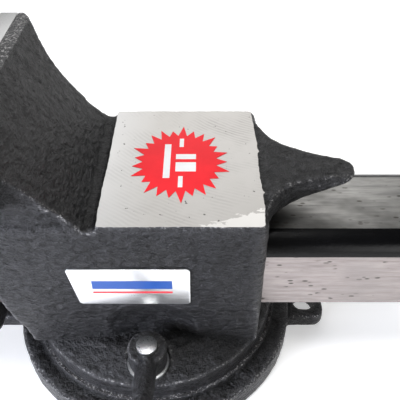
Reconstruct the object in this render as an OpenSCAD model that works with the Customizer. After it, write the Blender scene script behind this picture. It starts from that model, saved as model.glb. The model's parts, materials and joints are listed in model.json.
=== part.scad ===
// Heavy swivel-base bench vise with an anvil pad and a horn, jaws closed.
// Origin: on the swivel axis, at the underside of the base. +X points to the horn, +Z is up.

/* [Jaws] */
// Width of the jaws
jaw_w = 150; // [130:1:160]
// Height of a jaw plate
plate_h = 28; // [22:1:32]
// Thickness of a jaw plate
plate_t = 10; // [8:0.5:12]
// How far a jaw plate stands out of its casting
plate_proud = 3; // [2:0.5:4]
// Height of the jaw tops over the anvil pad
jaw_rise = 52; // [46:1:56]

/* [Anvil] */
// Length of the ground pad, along the vise
pad_l = 80; // [70:1:84]
// Width of the ground pad
pad_w = 100; // [90:1:102]
// Height of the pad over the bench
pad_z = 130; // [128:0.5:134]
// Length of the horn behind the pad
horn_l = 55; // [48:1:60]

/* [Body] */
// Width of the body casting at the slide
body_w = 103; // [102:0.5:108]
// Radius of the round foot of the body
foot_r = 76; // [75:0.5:78]

/* [Slide bar] */
// Width of the slide bar
bar_w = 67.4; // [60:0.2:70]
// Height of the slide bar
bar_h = 50.8; // [48:0.2:52]
// Radius of the bar's two upper corners
bar_corner_r = 14; // [8:0.5:16]
// Thickness of the bar's walls
bar_wall = 14; // [12:0.5:15]
// Gap between the bar and its housing
slide_gap = 0.3; // [0.2:0.05:0.5]

/* [Screw] */
// Diameter of the lead screw
screw_d = 26; // [22:1:28]
// Diameter of the handle bar
handle_d = 17; // [14:0.5:18]
// Length of the handle bar
handle_l = 290; // [240:5:320]

/* [Base] */
// Radius of the base disc
base_r = 89; // [87:1:92]
// Height of the seat that the body turns on
seat_z = 18; // [16:0.5:20]
// Thickness of the four bolt lugs
lug_z = 10; // [8:0.5:12]
// Circle of the four bench bolts
bolt_pcd = 200; // [196:1:202]
// Diameter of the bench bolt holes
bolt_hole_d = 13.5; // [11:0.5:14]
// Radius of the ring slot's middle, where the lock bolts stand
lock_r = 63; // [62.5:0.5:64]

/* [Hidden] */
$fn = 96;
eps = 0.01;
film = 0.1;

// Stations along the vise
pad_rear_x = 60;
pad_front_x = pad_rear_x - pad_l;
body_rear_x = pad_rear_x + 3.5;
body_front_x = -83.5;
jaw_plane_x = body_front_x - plate_proud;
static_seat_x = jaw_plane_x + plate_t;
closed_gap = 0.5;
moving_plane_x = jaw_plane_x - closed_gap;
moving_seat_x = moving_plane_x - plate_t;
moving_rear_x = moving_plane_x - plate_proud;
moving_front_x = -193.5;
boss_x = -203.5;
bar_rear_x = 167.5;
bar_wall_x = -179.5;

// Heights
jaw_top_z = pad_z + jaw_rise;
plate_z = jaw_top_z - plate_h;
bar_top_z = pad_z - 28.5;
bar_low_z = bar_top_z - bar_h;
channel_top_z = bar_top_z - bar_wall;
screw_z = bar_low_z + 17.3;
body_low_z = seat_z + film;
foot_rim_z = 30;
foot_neck_z = 37;
foot_neck_r = 60;
jaw_low_z = 32;

// Slide bar
bar_half = bar_w / 2;
channel_half = bar_half - bar_wall;
slot_half = bar_half + slide_gap;
slot_low_z = bar_low_z - slide_gap;

// Screw and nut
screw_r = screw_d / 2;
nut_x = -71.5;
nut_l = 55;
nut_half = channel_half - 1.2;
tongue_half = 10;
tongue_z = 34;
tongue_margin = 7;
nut_bolt_x = -45.5;
head_r = 21;
head_x = boss_x - 2.5;
head_l = 44.5;
handle_x = head_x - 22;
handle_r = handle_d / 2;
collar_r = 17.5;
collar_l = 10;
screw_tail_x = 142.5;

// Base
disc_z = 15;
seat_r = 78;
lug_w = 27;
lug_reach = 113;
slot_w = 14;
cavity_w = 24;
cavity_z = 5;
lip_z = 11;

// Fasteners
pin_r = 10;
lock_bolt_r = 6;
lock_boss_r = 12.5;
lock_boss_z = 33;
lever_z = lock_boss_z + 2.5;
lever_h = 14;
lever_tilt = 12;
lever_l = 72;
ball_r = 9;
jaw_screw_y = 50;
jaw_screw_z = plate_z + plate_h / 2;
jaw_screw_r = 4;
jaw_screw_head_r = 8;

// Point at t on the cubic curve from a to d, with handles b and c
function curve_point(a, b, c, d, t) =
    pow(1 - t, 3) * a + 3 * pow(1 - t, 2) * t * b + 3 * (1 - t) * t * t * c + pow(t, 3) * d;

// Points of that curve, both ends included
function curve(a, b, c, d, steps = 8) = [for (i = [0:steps]) curve_point(a, b, c, d, i / steps)];

// Both sides of an outline that is symmetric about its first axis or its second
function both_sides(half) = concat(half, [for (i = [len(half) - 1:-1:0]) [-half[i][0], half[i][1]]]);
function both_flanks(half) = concat(half, [for (i = [len(half) - 1:-1:0]) [half[i][0], -half[i][1]]]);

// A side view (x, z), drawn out to a width
module from_side(width) {
    rotate([90, 0, 0])
        linear_extrude(width, center = true)
            children();
}

// A front view (y, z), drawn out from x0 to x1
module from_front(x0, x1) {
    translate([x0, 0, 0])
        rotate([90, 0, 90])
            linear_extrude(x1 - x0)
                children();
}

// A cylinder along X from x0
module rod_x(r, x0, length, z = screw_z) {
    translate([x0, 0, z])
        rotate([0, 90, 0])
            cylinder(r = r, h = length);
}

// A cone along X from x0, radius r0 there and r1 at its far end
module cone_x(r0, r1, x0, length, z = screw_z) {
    translate([x0, 0, z])
        rotate([0, 90, 0])
            cylinder(r1 = r0, r2 = r1, h = length);
}

// A rod along Y, centred
module rod_y(r, x, z, length) {
    translate([x, 0, z])
        rotate([90, 0, 0])
            cylinder(r = r, h = length, center = true);
}

// ---- Body casting ----

// Side view: rear face, pad, valley, sloping back of the jaw, plate seat, front face
module body_side_view() {
    polygon(concat(
        [[body_rear_x, body_low_z + 12]],
        curve([body_rear_x, pad_z - 4], [body_rear_x, pad_z - 1.8], [body_rear_x - 1.8, pad_z],
            [pad_rear_x - 0.5, pad_z], 4),
        [[pad_front_x, pad_z], [pad_front_x - 1, pad_z - 3]],
        curve([pad_front_x - 6.5, pad_z - 3.5], [pad_front_x - 17.5, pad_z + 6], [-55.5, pad_z + 30],
            [-68.5, jaw_top_z], 12),
        [[static_seat_x, jaw_top_z], [static_seat_x, plate_z], [body_front_x, plate_z], [body_front_x, 92]],
        curve([-81, 84], [-78.5, 77], [-76, 56], [-71.5, 44], 5),
        [[-69.5, body_low_z + 12]]));
}

// Front view: lower flanks, flat sides, then the flare out to the jaw's ends
module body_front_view() {
    polygon(both_sides(concat(
        [[46, body_low_z + 12], [47.5, 44], [body_w / 2, 70], [body_w / 2, pad_z - 3],
            [pad_w / 2, pad_z], [pad_w / 2, pad_z + 5]],
        curve([pad_w / 2 + 0.5, pad_z + 9], [54, pad_z + 18], [64, pad_z + 20], [jaw_w / 2, plate_z - 3], 7),
        [[jaw_w / 2, jaw_top_z]])));
}

// Plan: jaw ends, waist behind them, straight sides, rounded rear corners
module body_plan() {
    polygon(both_flanks(concat(
        [[body_front_x, jaw_w / 2]],
        curve([-73.5, jaw_w / 2], [-65.5, 66], [-61.5, 53.5], [-47.5, body_w / 2], 8),
        curve([body_rear_x - 6, body_w / 2], [body_rear_x - 2.5, body_w / 2], [body_rear_x, body_w / 2 - 2.5],
            [body_rear_x, body_w / 2 - 6], 5))));
}

// The horn d behind the pad: how its round tip draws in, its top's half-width, its depth
function horn_tip(d) = d > horn_l - 7.5 ? sqrt(max(0, 1 - pow((d - horn_l + 7.5) / 7.6, 2))) : 1;
function horn_half(d) = min(pad_w / 2 - 0.2, (17.5 - 0.2 * d + 32.5 * exp(-max(d, 0) / 8)) * horn_tip(d));
function horn_depth(d) = min(26, 32.4 - 0.53 * d) * horn_tip(d);

// Ring of the horn's section at d: a flat top over a rounded belly
function horn_ring(d) =
    let (half = horn_half(d), depth = horn_depth(d))
    let (belly = min(half + 2.2 * min(1, half / 8), body_w / 2 - 0.4))
    let (top = pad_z - 0.2 - 4 * pow(max(d, 0) / horn_l, 1.5))
    let (waist = top - min(4, 0.35 * depth), low = top - depth)
    concat([[pad_rear_x + d, half, top]],
        [for (i = [0:10]) [pad_rear_x + d, belly * cos(i * 18), waist - (waist - low) * sin(i * 18)]],
        [[pad_rear_x + d, -half, top]]);

module horn() {
    stations = [-6, 0, 2, 4, 7, 10, 14, 19, 26, 34, horn_l - 11, horn_l - 7, horn_l - 4, horn_l - 1.7,
        horn_l - 0.4];
    rings = [for (d = stations) horn_ring(d)];
    count = len(rings[0]);
    last = len(rings) - 1;
    polyhedron(
        points = [for (ring = rings) each ring],
        faces = concat(
            [[for (i = [count - 1:-1:0]) i]],
            [for (k = [0:last - 1], i = [0:count - 1])
                [k * count + i, (k + 1) * count + (i + 1) % count, (k + 1) * count + i]],
            [for (k = [0:last - 1], i = [0:count - 1])
                [k * count + i, k * count + (i + 1) % count, (k + 1) * count + (i + 1) % count]],
            [[for (i = [0:count - 1]) last * count + i]]),
        convexity = 4);
}

// The opening that the slide bar runs in
module slide_slot() {
    round_r = bar_corner_r + slide_gap;
    top = bar_top_z + slide_gap;
    from_front(body_front_x - 1, body_rear_x + 1) {
        translate([-slot_half, slot_low_z])
            square([2 * slot_half, top - round_r - slot_low_z]);
        translate([-slot_half + round_r, slot_low_z])
            square([2 * (slot_half - round_r), top - slot_low_z]);
        for (side = [-1, 1])
            translate([side * (slot_half - round_r), top - round_r])
                circle(round_r);
    }
}

// Round foot that turns on the base, with a boss for each lock bolt
module foot() {
    translate([0, 0, body_low_z])
        cylinder(r = foot_r, h = foot_rim_z - body_low_z);
    translate([0, 0, foot_rim_z])
        cylinder(r1 = foot_r, r2 = foot_neck_r, h = foot_neck_z - foot_rim_z);
    for (side = [-1, 1])
        translate([0, side * lock_r, body_low_z])
            cylinder(r = lock_boss_r, h = lock_boss_z - body_low_z);
}

// Hollow in each flank, under the name plate
module flank_scoops() {
    scoop_r = 72.6;
    for (side = [-1, 1])
        translate([1.5, side * (body_w / 2 + scoop_r - 9), 38])
            sphere(scoop_r);
}

module static_body() {
    color([0.09, 0.09, 0.1])
    difference() {
        union() {
            difference() {
                intersection() {
                    from_side(jaw_w + 2) body_side_view();
                    from_front(body_front_x - 1, body_rear_x + 1) body_front_view();
                    linear_extrude(jaw_top_z + 1) body_plan();
                }
                flank_scoops();
            }
            foot();
            horn();
        }
        slide_slot();
        // tongue pocket and bolt hole of the nut
        translate([nut_x + tongue_margin, -tongue_half, tongue_z])
            cube([nut_l - 2 * tongue_margin, 2 * tongue_half, slot_low_z - tongue_z + 1]);
        translate([nut_bolt_x, 0, body_low_z - 1])
            cylinder(r = 9.5, h = 14);
        translate([nut_bolt_x, 0, body_low_z])
            cylinder(r = 6, h = tongue_z - body_low_z + 1);
        // centre pin, lock bolts with a spot face for the washer and lever, jaw plate screws
        translate([0, 0, body_low_z - 1])
            cylinder(r = pin_r, h = 27);
        for (side = [-1, 1]) {
            translate([0, side * lock_r, body_low_z - 1])
                cylinder(r = lock_bolt_r + 0.5, h = lock_boss_z);
            translate([0, side * lock_r, lock_boss_z])
                cylinder(r = lock_boss_r, h = foot_neck_z - lock_boss_z + 1);
            translate([0, side * jaw_screw_y, 0])
                rod_x(jaw_screw_r, static_seat_x - 1, 14, jaw_screw_z);
        }
    }
}

// A hardened plate with two countersunk holes; heads point at the jaw mouth, which lies towards side * X
module jaw_plate(x0, side) {
    mouth_x = side > 0 ? x0 + plate_t : x0;
    difference() {
        translate([x0, -jaw_w / 2, plate_z])
            cube([plate_t, jaw_w, plate_h]);
        for (y = [-jaw_screw_y, jaw_screw_y])
            translate([mouth_x, y, jaw_screw_z])
                rotate([0, -90 * side, 0]) {
                    translate([0, 0, -1])
                        cylinder(r = jaw_screw_head_r, h = 3);
                    translate([0, 0, 2])
                        cylinder(r1 = jaw_screw_head_r, r2 = jaw_screw_r, h = 4);
                    cylinder(r = jaw_screw_r, h = plate_t + 1);
                }
    }
}

// The two countersunk socket screws of a jaw plate
module jaw_screws(x0, side, grip) {
    mouth_x = side > 0 ? x0 + plate_t : x0;
    for (y = [-jaw_screw_y, jaw_screw_y])
        translate([mouth_x, y, jaw_screw_z])
            rotate([0, -90 * side, 0])
                difference() {
                    union() {
                        translate([0, 0, 1])
                            cylinder(r = jaw_screw_head_r, h = 1);
                        translate([0, 0, 2])
                            cylinder(r1 = jaw_screw_head_r, r2 = jaw_screw_r, h = 4);
                        translate([0, 0, 6 - eps])
                            cylinder(r = jaw_screw_r, h = plate_t + grip - 6);
                    }
                    cylinder(r = 3.4, h = 4, $fn = 6);
                }
}

module static_jaw_plate() {
    color([0.62, 0.62, 0.62])
        jaw_plate(jaw_plane_x, -1);
}

module static_jaw_screws() {
    color([0.25, 0.25, 0.26])
        jaw_screws(jaw_plane_x, -1, 12);
}

// Thin plate with one slanted end, on the near flank
module name_plate() {
    plate_thick = 0.9;
    low = pad_z - 56.3;
    high = pad_z - 28.7;
    color([0.82, 0.83, 0.85])
        translate([0, -body_w / 2, 0])
            rotate([90, 0, 0])
                linear_extrude(plate_thick)
                    polygon([[-38.1, high], [-39.3, high - 1.2], [-35.1, low + 1.2], [-33.7, low], [23.2, low],
                        [24.4, low + 1.2], [24.4, high - 1.2], [23.2, high]]);
}

// Star sticker on the pad with uneven spikes, wider across the vise than along it
module pad_sticker() {
    spikes = 25;
    color([1, 0.2, 0.24])
        translate([18.3, 0, pad_z])
            linear_extrude(0.2)
                polygon([for (i = [0:2 * spikes - 1])
                    let (turn = i * 180 / spikes, reach = i % 2 == 0 ? 0.93 + 0.07 * sin(i * 69) : 0.72)
                    [27.8 * reach * cos(turn), 34 * reach * sin(turn)]]);
}

// ---- Nut and swivel parts that turn with the body ----

module main_nut() {
    tongue_l = nut_l - 2 * tongue_margin;
    color([0.55, 0.5, 0.42])
        difference() {
            union() {
                translate([nut_x, -nut_half, slot_low_z])
                    cube([nut_l, 2 * nut_half, channel_top_z - 2.5 - slot_low_z]);
                translate([nut_x + tongue_margin, -tongue_half, tongue_z])
                    cube([tongue_l, 2 * tongue_half, slot_low_z - tongue_z + 1]);
            }
            rod_x(screw_r + 0.05, nut_x - 1, nut_l + 2);
            translate([nut_bolt_x, 0, tongue_z - 1])
                cylinder(r = 6, h = 14);
        }
}

module nut_bolt() {
    head_top = body_low_z + 13;
    color([0.2, 0.2, 0.21])
        translate([nut_bolt_x, 0, 0])
            difference() {
                union() {
                    translate([0, 0, head_top - 12])
                        cylinder(r = 9, h = 12);
                    translate([0, 0, head_top - eps])
                        cylinder(r = 6, h = tongue_z + 12 - head_top);
                }
                translate([0, 0, head_top - 13])
                    cylinder(r = 5.8, h = 7, $fn = 6);
            }
}

module swivel_pin() {
    color([0.3, 0.3, 0.31])
        union() {
            translate([0, 0, 1])
                cylinder(r = 16, h = 6.4, $fn = 6);
            translate([0, 0, 7])
                cylinder(r = pin_r, h = body_low_z + 25 - 7);
        }
}

module swivel_washer() {
    color([0.6, 0.6, 0.6])
        translate([0, 0, 7.4])
            difference() {
                cylinder(r = 18, h = 2.4);
                translate([0, 0, -1])
                    cylinder(r = pin_r, h = 5);
            }
}

module lock_t_bolts() {
    color([0.3, 0.3, 0.31])
        for (side = [-1, 1])
            translate([0, side * lock_r, 0]) {
                translate([-10, -10, cavity_z + 0.4])
                    cube([20, 20, lip_z - film - cavity_z - 0.4]);
                translate([0, 0, cavity_z + 1])
                    cylinder(r = lock_bolt_r, h = lever_z + lever_h + 2 - cavity_z - 1);
            }
}

module lock_washers() {
    color([0.6, 0.6, 0.6])
        for (side = [-1, 1])
            translate([0, side * lock_r, lock_boss_z])
                difference() {
                    cylinder(r = 12, h = lever_z - lock_boss_z);
                    translate([0, 0, -1])
                        cylinder(r = lock_bolt_r + 0.3, h = 5);
                }
}

// Lever nut: a hub with an arm that points away from the body and rises
module lock_lever(side) {
    arm_z = lever_z + lever_h / 2 + film;
    color([0.12, 0.12, 0.13])
        translate([0, side * lock_r, 0])
            difference() {
                union() {
                    translate([0, 0, lever_z + film])
                        cylinder(r = 11, h = lever_h);
                    translate([0, 0, arm_z])
                        rotate([-side * (90 - lever_tilt), 0, 0])
                            cylinder(r1 = 6.5, r2 = 4.5, h = lever_l);
                }
                cylinder(r = lock_bolt_r + 0.06, h = lever_z + lever_h + 2);
            }
}

// Ball on the lever's end, with a blind hole for the arm
module lock_ball(side) {
    arm_z = lever_z + lever_h / 2 + film;
    color([0.1, 0.1, 0.1])
        translate([0, side * lock_r, arm_z])
            rotate([-side * (90 - lever_tilt), 0, 0])
                difference() {
                    translate([0, 0, lever_l])
                        sphere(ball_r);
                    cylinder(r1 = 6.5, r2 = 4.5, h = lever_l);
                }
}

module lock_lever_near() {
    lock_lever(-1);
}

module lock_lever_far() {
    lock_lever(1);
}

module lock_ball_near() {
    lock_ball(-1);
}

module lock_ball_far() {
    lock_ball(1);
}

// ---- Base ----

module lug() {
    corner_r = 8;
    linear_extrude(lug_z) {
        translate([base_r - 20, -lug_w / 2])
            square([lug_reach - base_r + 20 - corner_r, lug_w]);
        translate([base_r - 20, -lug_w / 2 + corner_r])
            square([lug_reach - base_r + 20, lug_w - 2 * corner_r]);
        for (side = [-1, 1])
            translate([lug_reach - corner_r, side * (lug_w / 2 - corner_r)])
                circle(corner_r);
    }
}

module ring(r_mid, width, height) {
    difference() {
        cylinder(r = r_mid + width / 2, h = height);
        translate([0, 0, -1])
            cylinder(r = r_mid - width / 2, h = height + 2);
    }
}

module swivel_base() {
    color([0.09, 0.09, 0.1])
        difference() {
            union() {
                cylinder(r = base_r, h = disc_z);
                cylinder(r = seat_r, h = seat_z);
                for (turn = [0:90:270])
                    rotate(turn) lug();
            }
            // T-slot ring, with one wide place where a bolt's head goes in
            translate([0, 0, lip_z - 1])
                ring(lock_r, slot_w, seat_z);
            translate([0, 0, cavity_z])
                ring(lock_r, cavity_w, lip_z - cavity_z);
            translate([-lock_r - cavity_w / 2, -cavity_w / 2, cavity_z])
                cube([cavity_w, cavity_w, seat_z]);
            // centre pin and its head's recess
            translate([0, 0, -1])
                cylinder(r = pin_r + 0.08, h = seat_z + 2);
            translate([0, 0, -1])
                cylinder(r = 21, h = 11);
            for (turn = [0:90:270])
                rotate(turn)
                    translate([bolt_pcd / 2, 0, -1])
                        cylinder(d = bolt_hole_d, h = disc_z + 2);
        }
}

// ---- Moving jaw, with its slide bar ----

// Side view: underside, mouth face, plate seat, jaw top, sloping nose
module jaw_side_view() {
    polygon(concat(
        [[moving_front_x + 10, jaw_low_z + 4], [moving_front_x + 18, jaw_low_z], [moving_rear_x, jaw_low_z],
            [moving_rear_x, plate_z], [moving_seat_x, plate_z], [moving_seat_x, jaw_top_z]],
        curve([moving_seat_x - 9, jaw_top_z], [-111.5, pad_z + 26], [-129.5, pad_z + 14], [-155.5, pad_z + 3], 10),
        curve([-163.5, pad_z - 1], [-179.5, pad_z - 10], [moving_front_x, 112], [moving_front_x, 96], 6),
        curve([moving_front_x, 46], [moving_front_x, 42], [moving_front_x + 3, jaw_low_z + 7],
            [moving_front_x + 6, jaw_low_z + 5.5], 3)));
}

// Front view: rounded lower edges, flat sides, then the flare out to the jaw's ends
module jaw_front_view() {
    polygon(both_sides(concat(
        [[36, jaw_low_z]],
        curve([40, jaw_low_z + 1], [45, jaw_low_z + 4], [47, jaw_low_z + 10], [47.5, jaw_low_z + 20], 4),
        [[48.5, pad_z - 6]],
        curve([49, pad_z + 4], [53, pad_z + 17], [63, pad_z + 20], [jaw_w / 2, plate_z - 3], 7),
        [[jaw_w / 2, jaw_top_z]])));
}

// Plan: jaw ends, waist in front of them, tapering nose with round corners
module jaw_plan() {
    polygon(both_flanks(concat(
        [[moving_rear_x, jaw_w / 2]],
        curve([moving_seat_x - 4, jaw_w / 2], [-109.5, 64], [-113.5, 52], [-129.5, 48], 8),
        curve([-175.5, 42], [-185.5, 40.5], [moving_front_x, 38], [moving_front_x, 28], 5))));
}

module bar_outline() {
    translate([-bar_half, bar_low_z])
        square([bar_w, bar_h - bar_corner_r]);
    translate([-bar_half + bar_corner_r, bar_low_z])
        square([bar_w - 2 * bar_corner_r, bar_h]);
    for (side = [-1, 1])
        translate([side * (bar_half - bar_corner_r), bar_top_z - bar_corner_r])
            circle(bar_corner_r);
}

module moving_jaw() {
    color([0.1, 0.1, 0.11])
        difference() {
            union() {
                intersection() {
                    from_side(jaw_w + 2) jaw_side_view();
                    from_front(moving_front_x - 1, moving_rear_x) jaw_front_view();
                    linear_extrude(jaw_top_z + 1) jaw_plan();
                }
                from_front(-150, bar_rear_x) bar_outline();
                cone_x(29, 33, boss_x, 12);
            }
            // channel that clears the nut, open below
            translate([bar_wall_x, -channel_half, jaw_low_z - 1])
                cube([bar_rear_x - bar_wall_x + 1, 2 * channel_half, channel_top_z - jaw_low_z + 1]);
            rod_x(screw_r + 0.08, boss_x - 1, bar_wall_x - boss_x + 2);
            for (side = [-1, 1])
                translate([0, side * jaw_screw_y, 0])
                    rod_x(jaw_screw_r, moving_seat_x - 9, 10, jaw_screw_z);
        }
}

module moving_jaw_plate() {
    color([0.62, 0.62, 0.62])
        jaw_plate(moving_seat_x, 1);
}

module moving_jaw_screws() {
    color([0.25, 0.25, 0.26])
        jaw_screws(moving_seat_x, 1, 8);
}

// ---- Screw and handle ----

module main_screw() {
    color([0.55, 0.56, 0.58])
        difference() {
            union() {
                rod_x(screw_r, head_x - eps, screw_tail_x - head_x - 3);
                cone_x(screw_r, screw_r - 3, screw_tail_x - 3 - 2 * eps, 3);
                rod_x(head_r, head_x - head_l + 3, head_l - 3);
                cone_x(head_r - 3, head_r, head_x - head_l, 3 + eps);
            }
            rod_y(handle_r + 0.3, handle_x, screw_z, 2 * head_r + 2);
            rod_y(2.5, bar_wall_x + film + collar_l / 2, screw_z, 2 * screw_r + 2);
        }
}

module thrust_washer() {
    color([0.65, 0.6, 0.45])
        difference() {
            rod_x(24, head_x, boss_x - film - head_x);
            rod_x(screw_r, head_x - 1, 5);
        }
}

module screw_collar() {
    color([0.4, 0.4, 0.42])
        difference() {
            rod_x(collar_r, bar_wall_x + film, collar_l);
            rod_x(screw_r, bar_wall_x - 1, collar_l + 3);
            rod_y(2.5, bar_wall_x + film + collar_l / 2, screw_z, 2 * collar_r + 2);
        }
}

module collar_pin() {
    color([0.5, 0.5, 0.5])
        rod_y(2.5, bar_wall_x + film + collar_l / 2, screw_z, 2 * collar_r - 1);
}

module handle_bar() {
    color([0.7, 0.71, 0.73])
        rod_y(handle_r, handle_x, screw_z, handle_l);
}

// Two end knobs, each with a blind hole over the bar's end
module handle_knobs() {
    knob_r = 13.5;
    knob_l = 24;
    edge = 4;
    cover = 3;
    color([0.7, 0.71, 0.73])
        for (side = [-1, 1])
            translate([handle_x, side * (handle_l / 2 + cover - knob_l), screw_z])
                rotate([-90 * side, 0, 0])
                    difference() {
                        union() {
                            cylinder(r1 = knob_r - edge, r2 = knob_r, h = edge);
                            translate([0, 0, edge - eps])
                                cylinder(r = knob_r, h = knob_l - 2 * edge + 2 * eps);
                            translate([0, 0, knob_l - edge])
                                cylinder(r1 = knob_r, r2 = knob_r - edge, h = edge);
                        }
                        translate([0, 0, -1])
                            cylinder(r = handle_r, h = knob_l - cover + 1);
                    }
}

swivel_base();
static_body();
static_jaw_plate();
static_jaw_screws();
name_plate();
pad_sticker();
main_nut();
nut_bolt();
swivel_pin();
swivel_washer();
lock_t_bolts();
lock_washers();
lock_lever_near();
lock_lever_far();
lock_ball_near();
lock_ball_far();
moving_jaw();
moving_jaw_plate();
moving_jaw_screws();
main_screw();
thrust_washer();
screw_collar();
collar_pin();
handle_bar();
handle_knobs();
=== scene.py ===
"""Looks of a heavy swivel-base bench vise with an anvil pad and a horn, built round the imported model."""

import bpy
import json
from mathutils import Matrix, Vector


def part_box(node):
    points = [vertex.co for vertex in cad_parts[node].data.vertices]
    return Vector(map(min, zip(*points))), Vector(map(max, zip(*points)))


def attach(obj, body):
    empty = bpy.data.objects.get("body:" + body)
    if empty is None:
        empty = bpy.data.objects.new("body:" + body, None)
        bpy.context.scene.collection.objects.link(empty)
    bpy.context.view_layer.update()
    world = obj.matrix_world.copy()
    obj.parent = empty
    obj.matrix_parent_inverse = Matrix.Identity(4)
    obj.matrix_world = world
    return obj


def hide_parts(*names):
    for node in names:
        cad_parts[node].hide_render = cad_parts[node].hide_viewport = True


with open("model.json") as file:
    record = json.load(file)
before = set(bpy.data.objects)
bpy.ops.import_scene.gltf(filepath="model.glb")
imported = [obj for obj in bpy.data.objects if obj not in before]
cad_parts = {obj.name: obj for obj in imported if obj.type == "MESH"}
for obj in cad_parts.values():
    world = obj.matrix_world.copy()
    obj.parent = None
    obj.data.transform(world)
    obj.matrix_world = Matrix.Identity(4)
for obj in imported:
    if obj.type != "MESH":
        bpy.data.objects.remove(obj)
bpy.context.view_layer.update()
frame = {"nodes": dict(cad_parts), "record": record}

import json
import math

import bpy
from mathutils import Vector

MM = 0.001
RECORD = frame["record"]
BODY_OF = {node: body for body, nodes in RECORD["behaviour"]["bodies"].items() for node in nodes}

# Heights and stations that several pieces share, some read from the imported nodes and the rest given
BODY_LOW, BODY_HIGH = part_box("static_body")
JAW_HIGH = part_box("moving_jaw")[1]
PLATE_LOW, PLATE_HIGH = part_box("static_jaw_plate")
MOVING_PLATE_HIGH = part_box("moving_jaw_plate")[1]
STICKER_LOW, STICKER_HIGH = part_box("pad_sticker")
NAME_LOW, NAME_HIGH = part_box("name_plate")
SCREW_LOW, SCREW_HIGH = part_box("main_screw")
BASE_LOW, BASE_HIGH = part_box("swivel_base")

PAD_Z = STICKER_LOW.z
PAD_FRONT = -20 * MM
PAD_REAR = 60 * MM
PAD_HALF = 50 * MM
BAR_HALF = 33.7 * MM
BAR_TOP = PAD_Z - 28.5 * MM
BAR_LOW = BAR_TOP - 50.8 * MM
BAR_WALL = 14 * MM
BAR_CORNER = 14 * MM
SLIDE_GAP = 0.35 * MM
GROUND_DEPTH = 0.25 * MM
SCREW_Z = (SCREW_LOW.z + SCREW_HIGH.z) / 2
JAW_REAR_X = MOVING_PLATE_HIGH.x - 3 * MM
JAW_TOP = PLATE_HIGH.z
PLATE_MID = (PLATE_LOW.z + PLATE_HIGH.z) / 2
SCREW_Y = 50 * MM
LOCK_Y = 63 * MM
BAR_WALL_X = -179.5 * MM

# How close two places count as the same, when picking, cutting and merging
EDGE = 0.02 * MM
BISECT_NEAR = 0.001 * MM
MERGE_NEAR = 0.005 * MM
FLAT = 0.999

# Castings: stock left on for grinding, and the spacing of the uneven surface
STOCK = 0.8 * MM
PAD_STOCK = 2.4 * MM
SWELL_SPACING = 28 * MM
RIPPLE_SPACING = 4.5 * MM
SMOOTHING = 0.5

FLOOR_SIZE = 60
FLOOR_DROP = 0.3 * MM
CAMERA_PLACE = (0.0295, -0.2399, 0.3146)
CAMERA_TILT = 41.5


# ---- Bench tools: selecting, cutting and finishing ----

def deselect():
    for thing in list(bpy.context.selected_objects):
        thing.select_set(False)


def take(piece):
    """Makes a piece the only one picked up."""
    if bpy.context.object and bpy.context.object.mode != "OBJECT":
        bpy.ops.object.mode_set(mode="OBJECT")
    deselect()
    bpy.context.view_layer.objects.active = piece
    piece.select_set(True)


def pick(piece, kind, test):
    """Opens a piece for editing, with the vertices, edges or faces that pass the test selected."""
    take(piece)
    bpy.ops.object.mode_set(mode="EDIT")
    bpy.context.tool_settings.mesh_select_mode = (kind == "VERT", kind == "EDGE", kind == "FACE")
    bpy.ops.mesh.select_all(action="DESELECT")
    bpy.ops.object.mode_set(mode="OBJECT")
    mesh = piece.data
    if kind == "VERT":
        for vertex in mesh.vertices:
            vertex.select = bool(test(vertex.co))
    elif kind == "EDGE":
        for edge in mesh.edges:
            a, b = (mesh.vertices[i].co for i in edge.vertices)
            edge.select = bool(test(a, b))
    else:
        for face in mesh.polygons:
            face.select = bool(test(face.center, face.normal))
    bpy.ops.object.mode_set(mode="EDIT")


def done():
    bpy.ops.object.mode_set(mode="OBJECT")


def named(name):
    """The piece just added, with its name, and its place moved into its mesh."""
    piece = bpy.context.object
    piece.name = name
    piece.data.name = name
    bpy.ops.object.transform_apply(location=True, rotation=True, scale=True)
    return piece


def block(name, lowest, highest):
    """A block between two corners, as a start for a piece."""
    deselect()
    lowest, highest = Vector(lowest), Vector(highest)
    bpy.ops.mesh.primitive_cube_add(size=1, location=(lowest + highest) / 2)
    bpy.context.object.scale = highest - lowest
    return named(name)


def rod(name, radius, start, end, sides=64):
    """A round rod from start to end."""
    deselect()
    start, end = Vector(start), Vector(end)
    along = end - start
    bpy.ops.mesh.primitive_cylinder_add(
        vertices=sides, radius=radius, depth=along.length, location=(start + end) / 2,
        rotation=along.to_track_quat("Z", "Y").to_euler())
    return named(name)


def node_copy(node, name):
    """A copy of a node's mesh, with its loose triangles merged."""
    source = frame["nodes"][node]
    piece = bpy.data.objects.new(name, source.data.copy())
    piece.data.name = name
    piece.data.materials.clear()
    bpy.context.scene.collection.objects.link(piece)
    take(piece)
    bpy.ops.object.mode_set(mode="EDIT")
    bpy.ops.mesh.select_all(action="SELECT")
    bpy.ops.mesh.remove_doubles(threshold=MERGE_NEAR)
    done()
    if piece.data.attributes.get("custom_normal"):
        bpy.ops.mesh.customdata_custom_splitnormals_clear()
    return piece


def apply(piece, kind, **settings):
    """Adds a modifier, sets it and applies it."""
    take(piece)
    modifier = piece.modifiers.new(kind.title(), kind)
    for name, value in settings.items():
        setattr(modifier, name, value)
    bpy.ops.object.modifier_apply(modifier=modifier.name)


def cloud_texture(name, size):
    texture = bpy.data.textures.new(name, "CLOUDS")
    texture.noise_scale = size
    texture.noise_depth = 2
    return texture


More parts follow.
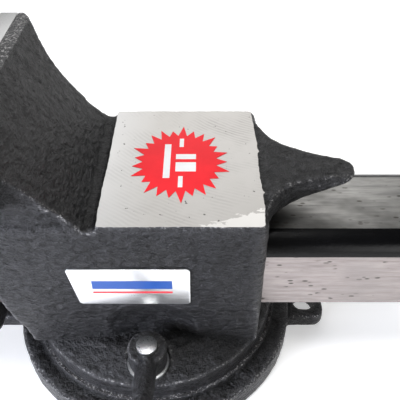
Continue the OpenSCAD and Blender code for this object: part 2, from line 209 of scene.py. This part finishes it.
def cast(piece, voxel, rounding, swell, ripple):
    """Turns a sharp solid into a sand casting: edges rounded, faces slightly swollen and rippled."""
    apply(piece, "REMESH", mode="VOXEL", voxel_size=voxel, use_smooth_shade=True)
    apply(piece, "SMOOTH", factor=SMOOTHING, iterations=rounding)
    apply(piece, "DISPLACE", texture=cloud_texture(piece.name + "_swell", SWELL_SPACING),
          strength=swell, mid_level=0.5, texture_coords="LOCAL")
    apply(piece, "DISPLACE", texture=cloud_texture(piece.name + "_ripple", RIPPLE_SPACING),
          strength=ripple, mid_level=0.5, texture_coords="LOCAL")


def grind(piece, point, normal, test=lambda centre: True):
    """Cuts a flat through the faces that pass the test, clears what stands over it and closes it."""
    pick(piece, "FACE", lambda centre, facing: test(centre))
    bpy.ops.mesh.bisect(plane_co=point, plane_no=normal, use_fill=True, clear_outer=True,
                        threshold=BISECT_NEAR)
    done()


def leave_stock(piece, level, extra, test=lambda co: True):
    """Moves a flat at a level up or down, so that a later grind cuts it all over."""
    pick(piece, "VERT", lambda co: abs(co.z - level) < EDGE and test(co))
    bpy.ops.transform.translate(value=(0, 0, extra))
    done()


def subtract(piece, cutter):
    """Cuts a clean opening with another solid, which is then thrown away."""
    apply(piece, "BOOLEAN", operation="DIFFERENCE", object=cutter, solver="EXACT")
    bpy.data.objects.remove(cutter)


def break_edges(piece, width, segments=2, angle=32):
    """Breaks every sharp edge with a small bevel, as after deburring."""
    apply(piece, "BEVEL", width=width, segments=segments, limit_method="ANGLE",
          angle_limit=math.radians(angle), harden_normals=False)
    smooth(piece)


def smooth(piece, angle=35):
    take(piece)
    bpy.ops.object.shade_smooth_by_angle(angle=math.radians(angle))


def machined(node, name, width):
    """A node's own shape with its flats made whole and its sharp edges broken."""
    piece = node_copy(node, name)
    bpy.ops.object.mode_set(mode="EDIT")
    bpy.ops.mesh.select_all(action="SELECT")
    bpy.ops.mesh.dissolve_limited(angle_limit=math.radians(0.8))
    done()
    break_edges(piece, width)
    return piece


def paint_faces(piece, material, test):
    """Gives a second material to the faces that pass the test."""
    piece.data.materials.append(material)
    index = len(piece.data.materials) - 1
    for face in piece.data.polygons:
        if test(face.center, face.normal):
            face.material_index = index


def crisp_rim(piece, test):
    """Marks the rim round the faces that pass the test as a hard edge."""
    pick(piece, "FACE", test)
    bpy.ops.mesh.region_to_loop()
    bpy.ops.mesh.mark_sharp()
    done()


def fit(piece, material, node):
    """Gives a finished piece its material, and the body of the node that it stands for."""
    if piece.data.materials:
        piece.data.materials[0] = material
    else:
        piece.data.materials.append(material)
    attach(piece, BODY_OF[node])


# ---- Finishes ----

class Finish:
    """A material's node tree, with short calls for the nodes that these finishes use."""

    def __init__(self, name, colour, metallic, roughness):
        self.material = bpy.data.materials.new(name)
        self.material.use_nodes = True
        self.tree = self.material.node_tree
        self.shader = self.tree.nodes["Principled BSDF"]
        self.shader.inputs["Base Color"].default_value = (*colour, 1)
        self.shader.inputs["Metallic"].default_value = metallic
        self.shader.inputs["Roughness"].default_value = roughness
        self.place = self.node("ShaderNodeTexCoord").outputs["Object"]

    def node(self, kind, **settings):
        made = self.tree.nodes.new(kind)
        for name, value in settings.items():
            setattr(made, name, value)
        return made

    def join(self, source, target):
        self.tree.links.new(source, target)

    def stretched(self, scale):
        """Object coordinates, scaled."""
        mapping = self.node("ShaderNodeMapping")
        self.join(self.place, mapping.inputs["Vector"])
        mapping.inputs["Scale"].default_value = scale
        return mapping.outputs["Vector"]

    def moved(self, shift, scale):
        """Object coordinates, shifted and then scaled."""
        mapping = self.node("ShaderNodeMapping")
        self.join(self.place, mapping.inputs["Vector"])
        mapping.inputs["Location"].default_value = [a * b for a, b in zip(shift, scale)]
        mapping.inputs["Scale"].default_value = scale
        return mapping.outputs["Vector"]

    def noise(self, scale, detail=3, roughness=0.5, at=None):
        made = self.node("ShaderNodeTexNoise")
        self.join(at or self.place, made.inputs["Vector"])
        made.inputs["Scale"].default_value = scale
        made.inputs["Detail"].default_value = detail
        made.inputs["Roughness"].default_value = roughness
        return made.outputs["Fac"]

    def pits(self, scale, at=None):
        made = self.node("ShaderNodeTexVoronoi")
        self.join(at or self.place, made.inputs["Vector"])
        made.inputs["Scale"].default_value = scale
        return made.outputs["Distance"]

    def band(self, value, start, end, low=0, high=1):
        """Maps start..end of a value to low..high, held at the ends."""
        made = self.node("ShaderNodeMapRange")
        self.join(value, made.inputs["Value"])
        made.inputs["From Min"].default_value = start
        made.inputs["From Max"].default_value = end
        made.inputs["To Min"].default_value = low
        made.inputs["To Max"].default_value = high
        return made.outputs["Result"]

    def maths(self, operation, a, b=None):
        made = self.node("ShaderNodeMath", operation=operation)
        for socket, value in zip(made.inputs, (a, b)):
            if value is None:
                continue
            if isinstance(value, (int, float)):
                socket.default_value = value
            else:
                self.join(value, socket)
        return made.outputs["Value"]

    def axis(self, letter):
        split = self.node("ShaderNodeSeparateXYZ")
        self.join(self.place, split.inputs["Vector"])
        return split.outputs[letter]

    def mix(self, factor, a, b):
        """Mixes two colours; each is a colour or an earlier mix."""
        made = self.node("ShaderNodeMix", data_type="RGBA")
        self.join(factor, made.inputs["Factor"])
        for socket, value in zip((made.inputs[6], made.inputs[7]), (a, b)):
            if isinstance(value, tuple):
                socket.default_value = (*value, 1)
            else:
                self.join(value, socket)
        return made.outputs[2]

    def colour(self, value):
        self.join(value, self.shader.inputs["Base Color"])

    def roughness(self, value):
        self.join(value, self.shader.inputs["Roughness"])

    def bump(self, *layers):
        """Stacks bumps; each layer is (height value, depth in metres)."""
        normal = None
        for value, depth in layers:
            made = self.node("ShaderNodeBump")
            made.inputs["Strength"].default_value = 1
            made.inputs["Distance"].default_value = depth
            self.join(value, made.inputs["Height"])
            if normal:
                self.join(normal, made.inputs["Normal"])
            normal = made.outputs["Normal"]
        self.join(normal, self.shader.inputs["Normal"])


def casting_paint():
    """Black paint over a sand casting: fine grain, soft wrinkles, painted shade in the hollows and small
    painted highlights on the ridges.
    """
    finish = Finish("black casting paint", (0.003, 0.003, 0.0032), 0, 0.3)
    finish.shader.inputs["Specular IOR Level"].default_value = 0.27
    patches = finish.noise(26, 4, 0.6)
    grain = finish.noise(1300, 3, 0.7)
    wrinkle = finish.noise(230, 4, 0.62, finish.stretched((1, 1, 2.2)))
    lumps = finish.noise(75, 3, 0.5)
    bulge = finish.node("ShaderNodeNewGeometry").outputs["Pointiness"]
    # ridges found by the mesh's curvature; the bright spots on them are painted highlights
    ridge = finish.band(bulge, 0.515, 0.55)
    painted_ridge_glints = finish.maths("MULTIPLY", ridge, finish.band(finish.noise(850, 3, 0.7), 0.54, 0.62))
    # small light specks scattered over the paint
    light_specks = finish.band(finish.noise(700, 2, 0.6), 0.66, 0.74, 0, 0.5)
    tone_and_relief_shade = finish.maths("ADD", finish.maths("MULTIPLY", wrinkle, 0.35),
                        finish.maths("MULTIPLY", grain, 0.65))
    tone_and_relief_shade = finish.maths("ADD", tone_and_relief_shade, finish.band(patches, 0.3, 0.7, -0.03, 0.03))
    # painted shade and highlight: hollows darker and bulges lighter, by the mesh's curvature
    tone_and_relief_shade = finish.maths("ADD", tone_and_relief_shade, finish.band(bulge, 0.47, 0.53, -0.13, 0.13))
    black = finish.mix(finish.band(tone_and_relief_shade, 0.42, 0.62), (0.0008, 0.0008, 0.001), (0.036, 0.0355, 0.037))
    black = finish.mix(light_specks, black, (0.09, 0.088, 0.085))
    finish.colour(finish.mix(painted_ridge_glints, black, (0.42, 0.41, 0.4)))
    finish.roughness(finish.band(patches, 0.3, 0.7, 0.26, 0.36))
    finish.bump((grain, 0.6 * MM), (wrinkle, 2.2 * MM), (lumps, 2.4 * MM))
    return finish.material


def ground_pad():
    """Surface-ground steel: faint curved wheel marks, tiny pores, one bright scraped corner."""
    finish = Finish("ground anvil face", (0.6, 0.59, 0.57), 1, 0.4)
    sweep = finish.node("ShaderNodeTexWave", wave_type="RINGS", rings_direction="Z")
    finish.join(finish.moved((-0.1, -0.12, 0), (1, 1, 0)), sweep.inputs["Vector"])
    sweep.inputs["Scale"].default_value = 140
    sweep.inputs["Distortion"].default_value = 3
    sweep.inputs["Detail"].default_value = 3
    sweep.inputs["Detail Scale"].default_value = 0.6
    patchy = finish.band(finish.noise(45, 3, 0.6), 0.42, 0.7)
    marks = finish.maths("MULTIPLY", sweep.outputs["Fac"], patchy)
    soft = finish.noise(22, 3, 0.5)
    grain = finish.noise(900, 2, 0.6)
    specks = finish.band(finish.noise(420, 2, 0.5), 0.25, 0.29)
    tone = finish.mix(finish.band(soft, 0.3, 0.7), (0.43, 0.415, 0.395), (0.51, 0.495, 0.475))
    tone = finish.mix(marks, tone, (0.36, 0.345, 0.33))
    # the face made lighter towards its end by the jaw
    rim = finish.band(finish.axis("X"), PAD_FRONT, PAD_FRONT + 26 * MM, 0.6, 0)
    tone = finish.mix(rim, tone, (0.6, 0.6, 0.6))
    tone = finish.mix(specks, (0.12, 0.115, 0.11), tone)
    # the scraped corner: a ragged wedge along the near edge that widens towards the horn
    wedge = finish.band(finish.axis("X"), PAD_REAR - 40 * MM, PAD_REAR, -4 * MM, 11 * MM)
    ragged = finish.band(finish.noise(150, 3, 0.6, finish.stretched((1, 3, 1))),
                         0.3, 0.7, -3 * MM, 3 * MM)
    reach = finish.maths("ADD", wedge, ragged)
    depth = finish.maths("ADD", finish.axis("Y"), PAD_HALF)
    scraped = finish.band(finish.maths("SUBTRACT", reach, depth), 0, 0.3 * MM)
    finish.colour(finish.mix(scraped, tone, (0.68, 0.665, 0.64)))
    finish.roughness(finish.band(soft, 0.3, 0.7, 0.38, 0.46))
    finish.bump((sweep.outputs["Fac"], 0.004 * MM), (grain, 0.006 * MM))
    return finish.material


def ground_bar():
    """Ground cast iron of the slide bar: streaks along the bar, open pits and stains, a top painted darker
    than the sides and painted shade on the top next to the body.
    """
    finish = Finish("ground bar iron", (0.5, 0.48, 0.46), 1, 0.42)
    streaks = finish.noise(60, 5, 0.65, finish.stretched((0.6, 6, 6)))
    stains = finish.noise(24, 4, 0.6, finish.stretched((0.6, 1, 1)))
    grain = finish.stretched((0.4, 1, 1))
    open_pits = finish.band(finish.pits(330, grain), 0.16, 0.26)
    where = finish.band(finish.noise(60, 3, 0.6), 0.46, 0.56)
    specks = finish.maths("SUBTRACT", 1, finish.maths(
        "MULTIPLY", where, finish.maths("SUBTRACT", 1, open_pits)))
    side = finish.mix(finish.band(streaks, 0.35, 0.65), (0.3, 0.265, 0.255), (0.48, 0.43, 0.415))
    side = finish.mix(finish.band(stains, 0.5, 0.8), side, (0.36, 0.33, 0.32))
    # painted shade: the top face gets a darker, greyer tone than the sides, with stains and streaks in it
    painted_dark_top = finish.mix(finish.band(stains, 0.42, 0.58), (0.11, 0.107, 0.096), (0.46, 0.45, 0.43))
    painted_dark_top = finish.mix(finish.band(streaks, 0.35, 0.65, 0, 0.6), painted_dark_top, (0.2, 0.2, 0.195))
    # painted shade: the top darkens towards the body, under the horn
    near = finish.band(finish.axis("X"), BODY_HIGH.x - 50 * MM, BODY_HIGH.x + 5 * MM, 0.85, 0)
    painted_dark_top = finish.mix(near, painted_dark_top, (0.09, 0.088, 0.082))
    above = finish.band(finish.axis("Z"), BAR_TOP - 2 * MM, BAR_TOP - 1 * MM)
    tone = finish.mix(above, side, painted_dark_top)
    finish.colour(finish.mix(specks, (0.12, 0.11, 0.1), tone))
    finish.roughness(finish.band(streaks, 0.3, 0.7, 0.36, 0.52))
    finish.bump((streaks, 0.05 * MM), (specks, 0.06 * MM))
    return finish.material


def bar_paint():
    """Smoother black paint on the bar's rounded corners."""
    finish = Finish("black bar paint", (0.0015, 0.0015, 0.0018), 0, 0.25)
    finish.shader.inputs["Specular IOR Level"].default_value = 0.3
    grain = finish.noise(700, 3, 0.6)
    drift = finish.noise(60, 4, 0.6, finish.stretched((0.3, 1, 1)))
    finish.roughness(finish.band(drift, 0.3, 0.7, 0.18, 0.34))
    finish.bump((grain, 0.08 * MM), (drift, 0.5 * MM))
    return finish.material


def plain_steel(name, colour, roughness, grain_scale, depth):
    """Turned or rolled steel with fine grain."""
    finish = Finish(name, colour, 1, roughness)
    grain = finish.noise(grain_scale, 4, 0.6)
    drift = finish.noise(30, 3, 0.5)
    darker = tuple(c * 0.78 for c in colour)
    finish.colour(finish.mix(finish.band(drift, 0.35, 0.7), colour, darker))
    finish.roughness(finish.band(grain, 0.3, 0.7, roughness * 0.8, roughness * 1.25))
    finish.bump((grain, depth))
    return finish.material


def sheet_metal():
    """Bright rolled sheet, brushed along its length."""
    finish = Finish("bright rolled sheet", (0.9, 0.905, 0.91), 1, 0.3)
    brush = finish.noise(300, 3, 0.5, finish.stretched((0.05, 1, 1)))
    finish.roughness(finish.band(brush, 0.3, 0.7, 0.26, 0.36))
    finish.bump((brush, 0.004 * MM))
    return finish.material


def plain_print(name, colour, roughness, gloss=0.5):
    """Printed ink or film with a faint unevenness."""
    finish = Finish(name, colour, 0, roughness)
    finish.shader.inputs["Specular IOR Level"].default_value = gloss
    drift = finish.noise(90, 3, 0.5)
    darker = tuple(c * 0.9 for c in colour)
    finish.colour(finish.mix(finish.band(drift, 0.3, 0.7), colour, darker))
    finish.bump((finish.noise(400, 2), 0.01 * MM))
    return finish.material


PAINT = casting_paint()
GROUND = ground_pad()
BAR_GROUND = ground_bar()
BAR_PAINT = bar_paint()
JAW_STEEL = plain_steel("hardened jaw steel", (0.5, 0.5, 0.5), 0.34, 900, 0.01 * MM)
BLACK_STEEL = plain_steel("blackened steel", (0.07, 0.07, 0.075), 0.4, 800, 0.01 * MM)
SCREW_STEEL = plain_steel("turned screw steel", (0.48, 0.48, 0.49), 0.3, 600, 0.01 * MM)
ZINC = plain_steel("zinc plate", (0.66, 0.67, 0.66), 0.3, 1200, 0.008 * MM)
HANDLE_STEEL = plain_steel("drawn handle steel", (0.42, 0.42, 0.43), 0.3, 500, 0.006 * MM)
NUT_IRON = plain_steel("machined grey iron", (0.3, 0.29, 0.28), 0.45, 500, 0.03 * MM)
LEVER_PAINT = casting_paint()
BALL_BLACK = plain_print("polished black plastic", (0.012, 0.012, 0.013), 0.15)
SHEET = sheet_metal()
STICKER_RED = plain_print("red film", (0.9, 0.02, 0.03), 0.5, 0.15)
STICKER_WHITE = plain_print("white print", (0.88, 0.88, 0.88), 0.45, 0.25)
PLATE_BLUE = plain_print("blue print", (0.015, 0.07, 0.28), 0.3)
PLATE_RED = plain_print("red print", (0.6, 0.03, 0.04), 0.3)


# ---- Castings ----

def bar_block(name, start, end, grow=0):
    """The slide bar's outline drawn out along X, with its two upper corners rounded."""
    piece = block(name, (start, -BAR_HALF - grow, BAR_LOW - grow),
                  (end, BAR_HALF + grow, BAR_TOP + grow))
    top = BAR_TOP + grow - EDGE
    pick(piece, "EDGE", lambda a, b: min(a.z, b.z) > top and abs(a.y - b.y) < EDGE)
    bpy.ops.mesh.bevel(offset=BAR_CORNER + grow, segments=14, affect="EDGES")
    done()
    return piece


def body_casting():
    """Body: cast all over, then ground flat on the anvil pad and cut clean along the slide."""
    piece = node_copy("static_body", "body_casting")
    leave_stock(piece, PAD_Z, PAD_STOCK, lambda co: PAD_FRONT - EDGE < co.x < PAD_REAR + EDGE)
    leave_stock(piece, BODY_HIGH.z, STOCK)
    leave_stock(piece, BODY_LOW.z, -STOCK)
    cast(piece, 1.2 * MM, 3, 0.8 * MM, 0.75 * MM)
    subtract(piece, bar_block("slide_cutter", BODY_LOW.x - 20 * MM, BODY_HIGH.x + 20 * MM, SLIDE_GAP))
    grind(piece, (0, 0, PAD_Z), (0, 0, 1), lambda co: co.x > PAD_FRONT - 5 * MM)
    grind(piece, (0, 0, JAW_TOP), (0, 0, 1))
    grind(piece, (0, 0, BODY_LOW.z), (0, 0, -1))

    def ground(co, facing):
        return facing.z > 0.99 and abs(co.z - PAD_Z) < EDGE

    paint_faces(piece, PAINT, lambda co, facing: False)
    paint_faces(piece, GROUND, ground)
    crisp_rim(piece, ground)
    smooth(piece)
    fit(piece, PAINT, "static_body")
    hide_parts("static_body")


def base_casting():
    """Swivel base: cast disc and lugs, machined underneath and on the seat."""
    piece = node_copy("swivel_base", "base_casting")
    leave_stock(piece, BASE_HIGH.z, STOCK)
    leave_stock(piece, BASE_LOW.z, -STOCK)
    cast(piece, 1.4 * MM, 4, 0.7 * MM, 0.6 * MM)
    grind(piece, (0, 0, BASE_HIGH.z), (0, 0, 1))
    grind(piece, (0, 0, BASE_LOW.z), (0, 0, -1))
    smooth(piece)
    fit(piece, PAINT, "swivel_base")
    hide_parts("swivel_base")


def jaw_casting():
    """Moving jaw: cast nose and jaw head, without the slide bar."""
    piece = node_copy("moving_jaw", "jaw_casting")
    pick(piece, "FACE", lambda centre, facing: True)
    bpy.ops.mesh.bisect(plane_co=(JAW_REAR_X - 0.05 * MM, 0, 0), plane_no=(1, 0, 0), use_fill=True,
                        clear_outer=True, threshold=BISECT_NEAR)
    done()
    leave_stock(piece, JAW_HIGH.z, STOCK)
    cast(piece, 1.5 * MM, 4, 0.8 * MM, 0.7 * MM)
    grind(piece, (0, 0, JAW_TOP), (0, 0, 1))
    smooth(piece)
    fit(piece, PAINT, "moving_jaw")
    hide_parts("moving_jaw")


def slide_bar():
    """Slide bar: painted round corners that stand just proud of the ground flats, open channel below."""
    start = -130 * MM
    piece = bar_block("slide_bar", start, JAW_HIGH.x)
    for side in (-1, 1):
        grind(piece, (0, side * (BAR_HALF - GROUND_DEPTH), 0), (0, side, 0))
    grind(piece, (0, 0, BAR_TOP - GROUND_DEPTH), (0, 0, 1))
    channel = block("channel_cutter", (start - 1 * MM, -BAR_HALF + BAR_WALL, BAR_LOW - 1 * MM),
                    (JAW_HIGH.x + 1 * MM, BAR_HALF - BAR_WALL, BAR_TOP - BAR_WALL))
    subtract(piece, channel)
    break_edges(piece, 0.5 * MM, 2, 50)
    paint_faces(piece, BAR_PAINT, lambda co, facing: False)
    inner = BAR_HALF - BAR_WALL + 5 * MM
    paint_faces(piece, BAR_GROUND, lambda co, facing: abs(facing.x) > FLAT
                or abs(facing.z) > FLAT and (co.z > BAR_TOP - 1 * MM or co.z < BAR_LOW + 1 * MM)
                or abs(facing.y) > FLAT and abs(co.y) > inner)
    fit(piece, BAR_PAINT, "moving_jaw")


# ---- Jaw plates ----

def teeth(name, mouth_x, side):
    """A field of small pyramids that points at the jaw mouth, which lies towards side * X."""
    pitch = 2.4 * MM
    depth = 0.8 * MM
    half_w = PLATE_HIGH.y - 3 * MM
    half_h = (PLATE_HIGH.z - PLATE_LOW.z) / 2 - 2.6 * MM
    deselect()
    bpy.ops.mesh.primitive_grid_add(
        x_subdivisions=round(2 * half_h / pitch), y_subdivisions=round(2 * half_w / pitch), size=2,
        location=(mouth_x - side * depth, 0, PLATE_MID), rotation=(0, side * math.pi / 2, 0))
    bpy.context.object.scale = (half_h, half_w, 1)
    piece = named(name)
    pick(piece, "FACE", lambda centre, facing: True)
    bpy.ops.mesh.poke(offset=depth * 0.96)
    bpy.ops.mesh.select_all(action="SELECT")
    bpy.ops.mesh.extrude_region_move(TRANSFORM_OT_translate={"value": (-side * 0.4 * MM, 0, 0)})
    bpy.ops.mesh.select_all(action="SELECT")
    bpy.ops.mesh.normals_make_consistent(inside=False)
    done()
    return piece


def jaw_plate(node, name, side):
    """Hardened plate, its mouth face sunk inside a narrow border and filled with teeth."""
    lowest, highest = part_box(node)
    mouth_x = highest.x if side > 0 else lowest.x
    plate = machined(node, name, 0.4 * MM)
    border = 2.6 * MM
    recess = block("recess", (mouth_x - 0.9 * MM, lowest.y + border, lowest.z + border - 0.2 * MM),
                   (mouth_x + 0.9 * MM, highest.y - border, highest.z - border + 0.2 * MM))
    subtract(plate, recess)
    field = teeth(name + "_teeth", mouth_x, side)
    hole_radius = 8.4 * MM
    for y in (-SCREW_Y, SCREW_Y):
        hole = rod("hole", hole_radius, (mouth_x - 3 * MM, y, PLATE_MID),
                   (mouth_x + 3 * MM, y, PLATE_MID), 48)
        subtract(field, hole)
    smooth(plate)
    for piece in (plate, field):
        fit(piece, JAW_STEEL, node)
    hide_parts(node)


# ---- Screw, handle and levers ----

def lead_screw():
    """Screw: square thread wound on its shank, plain journal, bored head."""
    node = "main_screw"
    shank = machined(node, "screw_shank", 0.6 * MM)
    lead = 6 * MM
    crest = 13 * MM
    root = 10.4 * MM
    start = BAR_WALL_X + 16 * MM
    turns = int((SCREW_HIGH.x - 4 * MM - start) / lead)
    groove = rod("groove_cutter", crest + 1 * MM, (start, 0, SCREW_Z),
                 (start + turns * lead, 0, SCREW_Z), 64)
    core = rod("core_cutter", root + 0.1 * MM, (start - 1 * MM, 0, SCREW_Z),
               (start + (turns + 1) * lead, 0, SCREW_Z), 64)
    subtract(groove, core)
    subtract(shank, groove)
    smooth(shank)
    deselect()
    bpy.ops.mesh.primitive_plane_add(size=1, location=(0, 0, 0))
    thread = bpy.context.object
    thread.name = "screw_thread"
    outline = [(0, root), (0.35 * MM, crest), (2.65 * MM, crest), (3 * MM, root)]
    for vertex, (x, r) in zip(thread.data.vertices, [outline[0], outline[3], outline[1], outline[2]]):
        vertex.co = (x, 0, r)
    thread_turns = turns - 0.6
    steps = int(36 * thread_turns)
    apply(thread, "SCREW", axis="X", angle=2 * math.pi * thread_turns,
          screw_offset=lead * thread_turns, steps=steps, render_steps=steps, use_smooth_shade=False)
    take(thread)
    thread.location = (start + 0.5 * MM, 0, SCREW_Z)
    bpy.ops.object.transform_apply(location=True)
    bpy.ops.object.mode_set(mode="EDIT")
    bpy.ops.mesh.select_all(action="SELECT")
    bpy.ops.mesh.normals_make_consistent(inside=False)
    done()
    smooth(thread, 30)
    for piece in (shank, thread):
        fit(piece, SCREW_STEEL, node)
    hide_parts(node)


def lock_lever(node, name, side):
    """Forged lever nut: arm and hub run into each other, hub faced flat and bored."""
    lowest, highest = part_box(node)
    piece = node_copy(node, name)
    apply(piece, "REMESH", mode="VOXEL", voxel_size=0.7 * MM, use_smooth_shade=True)
    apply(piece, "SMOOTH", factor=SMOOTHING, iterations=10)
    hammer_spacing = 6 * MM
    apply(piece, "DISPLACE", texture=cloud_texture(name + "_hammer", hammer_spacing),
          strength=0.25 * MM, mid_level=0.5, texture_coords="LOCAL")
    bore_radius = 6.06 * MM
    bore = rod("bore", bore_radius, (0, side * LOCK_Y, lowest.z - 2 * MM),
               (0, side * LOCK_Y, highest.z), 64)
    subtract(piece, bore)
    grind(piece, (0, 0, lowest.z), (0, 0, -1))
    smooth(piece)
    fit(piece, LEVER_PAINT, node)
    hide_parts(node)


def plain_piece(node, name, material, width=0.4 * MM):
    piece = machined(node, name, width)
    fit(piece, material, node)
    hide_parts(node)


# ---- Name plate and sticker ----

def print_block(name, node, material, lowest, highest):
    """A thin printed area that lies on its carrier."""
    piece = block(name, lowest, highest)
    width = min(b - a for a, b in zip(lowest, highest)) / 3
    break_edges(piece, width, 1)
    fit(piece, material, node)


def name_badge():
    """Bright plate with a plain border round one wide printed bar and one thin printed line."""
    plain_piece("name_plate", "name_badge", SHEET, 0.25 * MM)
    front = NAME_LOW.y
    ink = 0.05 * MM
    mid_x = (NAME_LOW.x + NAME_HIGH.x) / 2 + 1.5 * MM
    mid_z = (NAME_LOW.z + NAME_HIGH.z) / 2 + 2 * MM
    print_block("badge_bar", "name_plate", PLATE_BLUE, (mid_x - 21 * MM, front - ink, mid_z - 3.2 * MM),
                (mid_x + 21 * MM, front + ink, mid_z + 3.2 * MM))
    print_block("badge_line", "name_plate", PLATE_RED, (mid_x - 21 * MM, front - ink, mid_z - 6.6 * MM),
                (mid_x + 21 * MM, front + ink, mid_z - 5.2 * MM))


def pad_label():
    """Red film with plain white bars."""
    plain_piece("pad_sticker", "pad_label", STICKER_RED, 0.05 * MM)
    mid = (STICKER_LOW + STICKER_HIGH) / 2
    # each bar's name, its middle from the sticker's middle, and its size along X and Y, all in mm
    for name, x, y, wide, long in (
            ("label_long_bar", -7.2, 1, 3.6, 30),
            ("label_block", 3, 4.5, 11, 4.5),
            ("label_second_block", 3, -4.5, 11, 8),
            ("label_far_bar", 0.4, 17.5, 2.4, 8),
            ("label_near_bar", 0.4, -17, 2.4, 9)):
        start = Vector((mid.x + (x - wide / 2) * MM, mid.y + (y - long / 2) * MM,
                        STICKER_HIGH.z - 0.05 * MM))
        print_block(name, "pad_sticker", STICKER_WHITE, start, start + Vector((wide, long, 0.1)) * MM)


body_casting()
base_casting()
jaw_casting()
slide_bar()
jaw_plate("static_jaw_plate", "fixed_jaw_plate", -1)
jaw_plate("moving_jaw_plate", "sliding_jaw_plate", 1)
lead_screw()
lock_lever("lock_lever_near", "near_lever", -1)
lock_lever("lock_lever_far", "far_lever", 1)
for node, name, material in (
        ("static_jaw_screws", "fixed_plate_screws", BLACK_STEEL),
        ("moving_jaw_screws", "sliding_plate_screws", BLACK_STEEL),
        ("lock_ball_near", "near_ball", BALL_BLACK),
        ("lock_ball_far", "far_ball", BALL_BLACK),
        ("lock_washers", "lever_washers", ZINC),
        ("lock_t_bolts", "t_bolts", ZINC),
        ("swivel_pin", "centre_pin", BLACK_STEEL),
        ("swivel_washer", "centre_washer", ZINC),
        ("main_nut", "screw_nut", NUT_IRON),
        ("nut_bolt", "nut_screw", BLACK_STEEL),
        ("thrust_washer", "head_washer", ZINC),
        ("screw_collar", "retaining_collar", BLACK_STEEL),
        ("collar_pin", "cross_pin", BLACK_STEEL),
        ("handle_bar", "handle_rod", HANDLE_STEEL),
        ("handle_knobs", "handle_ends", HANDLE_STEEL)):
    plain_piece(node, name, material)
name_badge()
pad_label()


# ---- Floor, lights and camera ----

def floor():
    deselect()
    bpy.ops.mesh.primitive_plane_add(size=FLOOR_SIZE, location=(0, 0, -FLOOR_DROP))
    piece = named("floor")
    finish = Finish("pale floor", (0.86, 0.86, 0.86), 0, 0.7)
    finish.shader.inputs["Emission Color"].default_value = (1, 1, 1, 1)
    finish.shader.inputs["Emission Strength"].default_value = 0.45
    piece.data.materials.append(finish.material)


def soft_light(name, place, aim, size, power, colour=(1, 1, 1)):
    light = bpy.data.lights.new(name, "AREA")
    light.shape = "RECTANGLE"
    light.size, light.size_y = size
    light.energy = power
    light.color = colour
    lamp = bpy.data.objects.new(name, light)
    bpy.context.scene.collection.objects.link(lamp)
    lamp.location = place
    lamp.rotation_euler = (Vector(aim) - Vector(place)).to_track_quat("-Z", "Y").to_euler()


def studio():
    world = bpy.data.worlds.new("studio")
    bpy.context.scene.world = world
    world.use_nodes = True
    nodes, links = world.node_tree.nodes, world.node_tree.links
    background = nodes["Background"]
    background.inputs["Color"].default_value = (1, 1, 1, 1)
    # pale round the horizon, darker overhead
    direction = nodes.new("ShaderNodeTexCoord")
    height = nodes.new("ShaderNodeSeparateXYZ")
    fade = nodes.new("ShaderNodeMapRange")
    links.new(direction.outputs["Generated"], height.inputs["Vector"])
    links.new(height.outputs["Z"], fade.inputs["Value"])
    fade.inputs["From Min"].default_value = 0.1
    fade.inputs["From Max"].default_value = 0.4
    fade.inputs["To Min"].default_value = 0.55
    fade.inputs["To Max"].default_value = 0.1
    links.new(fade.outputs["Result"], background.inputs["Strength"])
    centre = (0, 0, 0.1)
    soft_light("back_box", (0.05, 1.35, 1.0), centre, (1.8, 1.0), 10.5)
    soft_light("overhead", (-0.05, -0.12, 1.3), centre, (0.5, 0.5), 10)
    soft_light("side_window", (-0.65, -0.6, 0.22), (-0.15, -0.05, 0.08), (0.45, 0.3), 16,
               (0.82, 0.86, 1.0))
    soft_light("right_fill", (0.75, -0.75, 0.3), (0.2, 0, 0), (0.5, 0.4), 1)


def camera():
    lens = bpy.data.cameras.new("camera")
    lens.lens = 50
    lens.sensor_width = 36
    lens.clip_start = 0.01
    viewer = bpy.data.objects.new("camera", lens)
    bpy.context.scene.collection.objects.link(viewer)
    viewer.location = CAMERA_PLACE
    viewer.rotation_euler = (math.radians(90 - CAMERA_TILT), 0, 0)
    bpy.context.scene.camera = viewer
    bpy.context.scene.view_settings.view_transform = "Standard"


floor()
studio()
camera()
